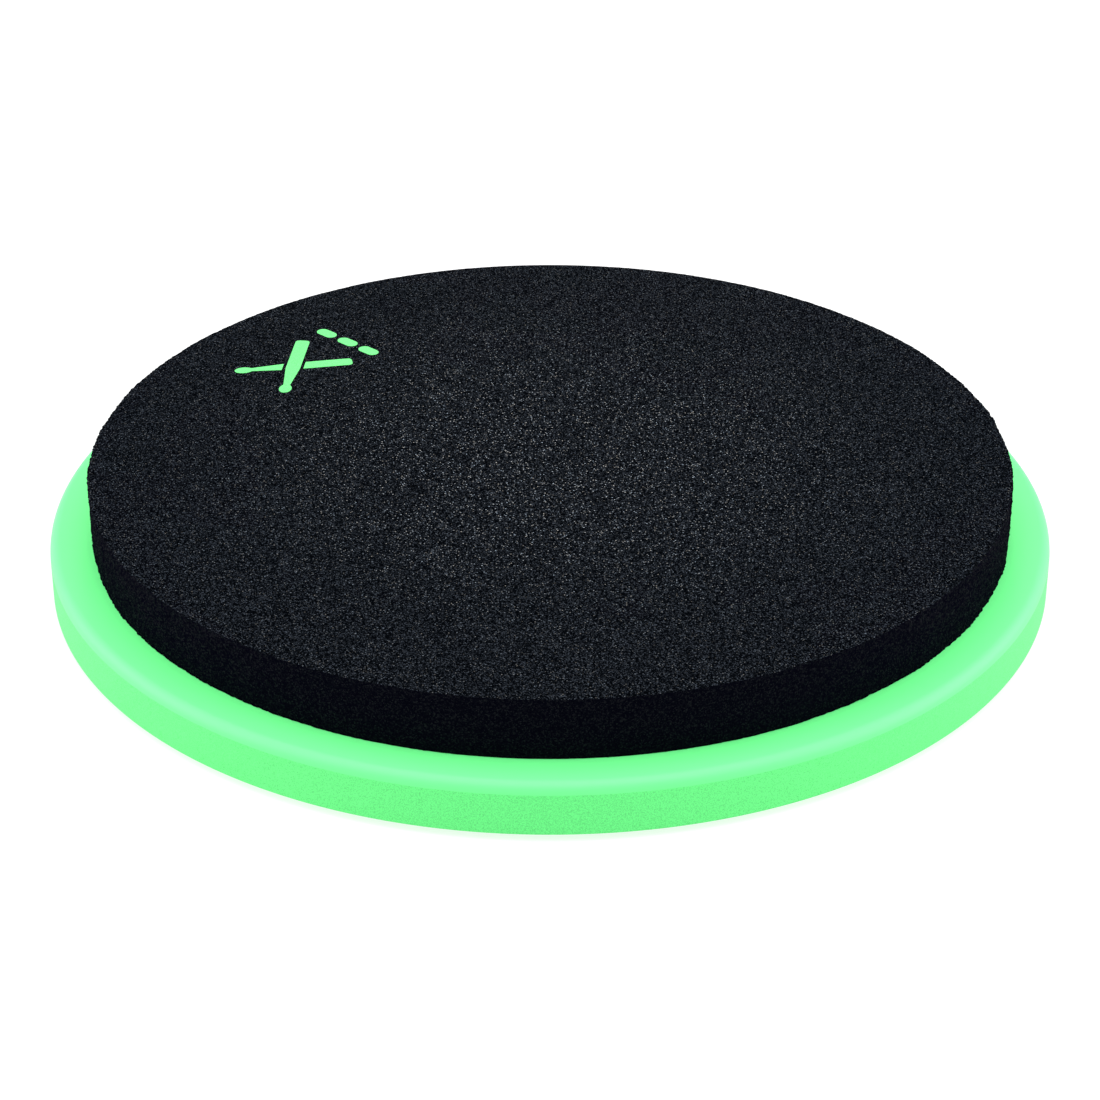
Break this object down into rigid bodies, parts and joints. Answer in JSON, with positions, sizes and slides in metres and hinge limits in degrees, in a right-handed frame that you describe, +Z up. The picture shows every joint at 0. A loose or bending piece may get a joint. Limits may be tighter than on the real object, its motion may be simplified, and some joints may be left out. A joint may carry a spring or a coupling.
{
  "type": "drum practice pad",
  "caption": "Round drum practice pad: a thick foam playing disc on a painted fibreboard base with a rounded edge and a non-slip rubber sheet below.",
  "frame": {"origin": "centre of the pad's underside, on the surface that it stands on", "axes": "+Z up through the playing surface, -Y towards the player, +X towards the printed mark, which reads upright from the player's side"},
  "size_m": [0.3048, 0.3048, 0.0369],
  "materials": {
    "grip_rubber": "matt black non-slip rubber with a fine moulded grain",
    "adhesive": "thin double-sided adhesive film",
    "painted_board": "fibreboard sprayed mint green, satin, smooth on top and finely grained on the edge",
    "playing_foam": "matt black closed-cell foam with a fine open-celled cut skin",
    "print_ink": "screen-printed mint ink, satin"
  },
  "bodies": {
    "root": {"grip_sheet": "grip_rubber", "grip_adhesive": "adhesive", "base_board": "painted_board", "foam_adhesive": "adhesive", "playing_foam": "playing_foam", "print_upper_stick": "print_ink", "print_lower_stick_butt": "print_ink", "print_lower_stick_tip": "print_ink", "print_dash_1": "print_ink", "print_dash_2": "print_ink", "print_dash_3": "print_ink"}
  },
  "joints": []
}
